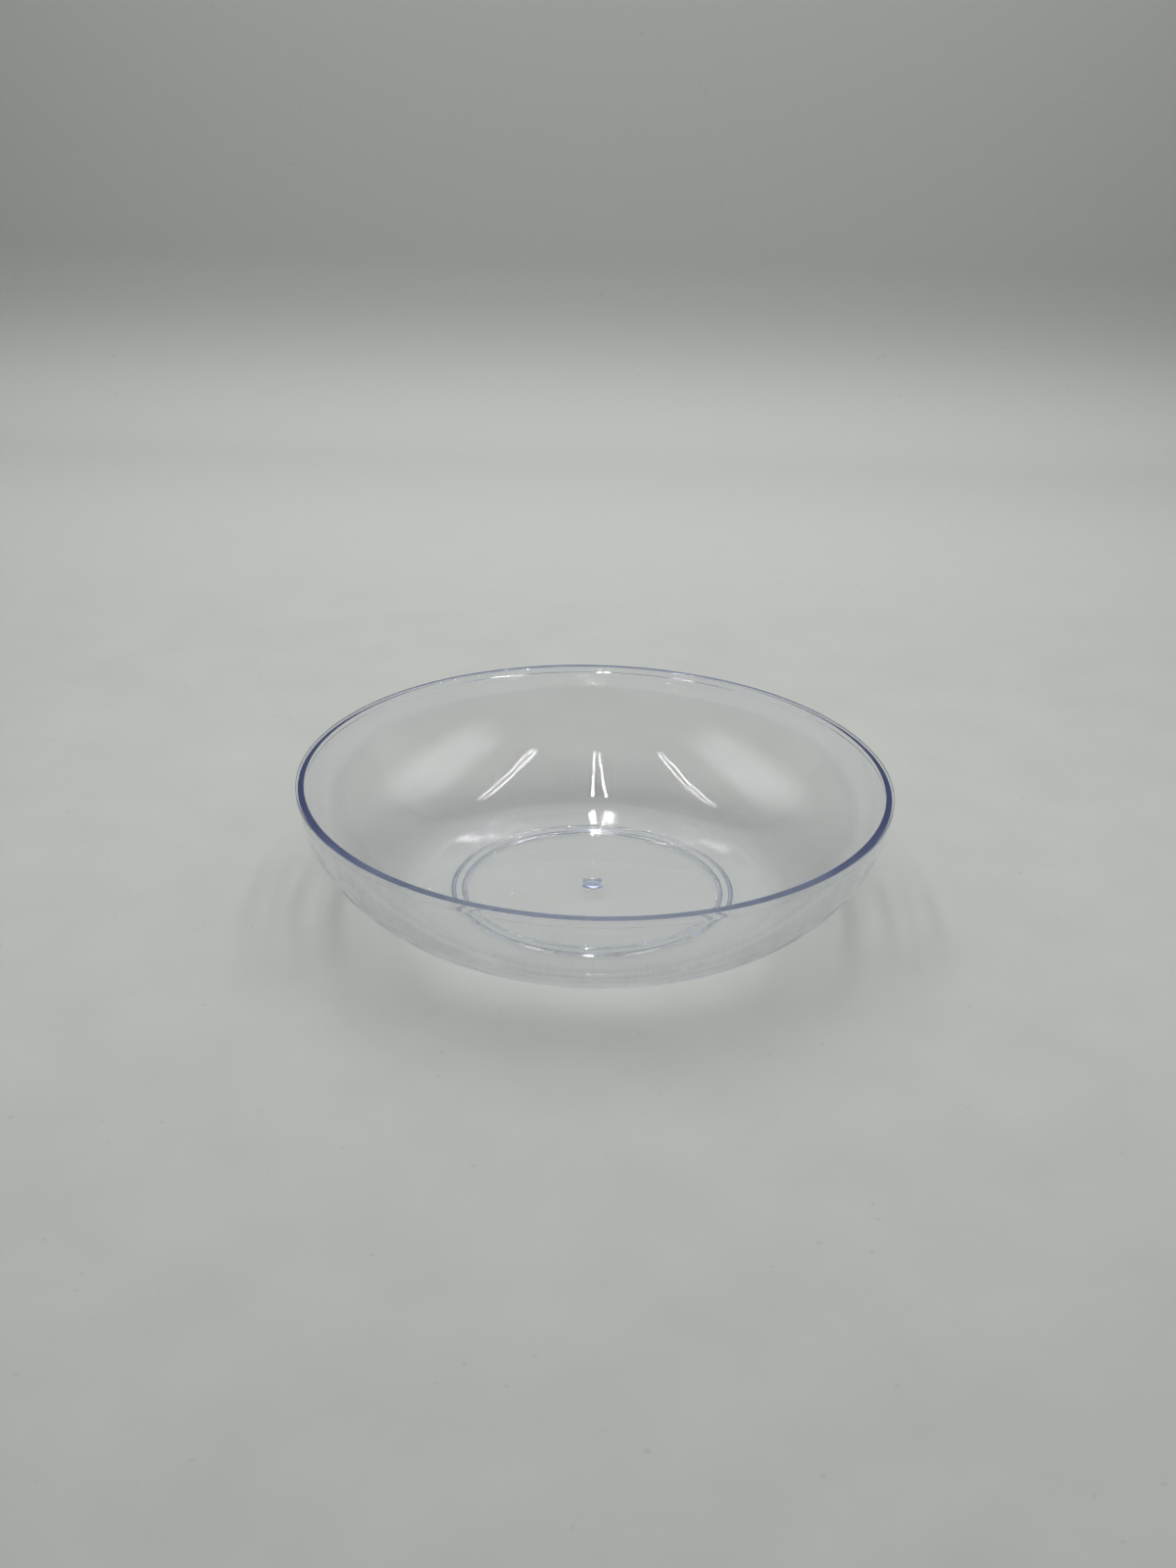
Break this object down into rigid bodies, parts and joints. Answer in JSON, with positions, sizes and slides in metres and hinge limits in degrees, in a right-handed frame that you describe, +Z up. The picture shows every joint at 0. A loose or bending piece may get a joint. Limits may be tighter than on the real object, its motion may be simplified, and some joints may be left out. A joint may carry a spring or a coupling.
{
  "type": "floral tray",
  "caption": "Shallow round clear plastic dish with a flat-topped rim bead, a low foot ring and a gate stub in its floor, for holding floral foam, a pot or water.",
  "frame": {"origin": "on the axis of the dish, in the plane that the foot ring stands on", "axes": "+Z up along the axis of the dish; X and Y are any two directions across it, because it is a solid of revolution"},
  "size_m": [0.152, 0.152, 0.035],
  "materials": {
    "clear_polystyrene": "clear moulded gloss, faint blue tint"
  },
  "bodies": {
    "root": {"tray": "clear_polystyrene"}
  },
  "joints": []
}
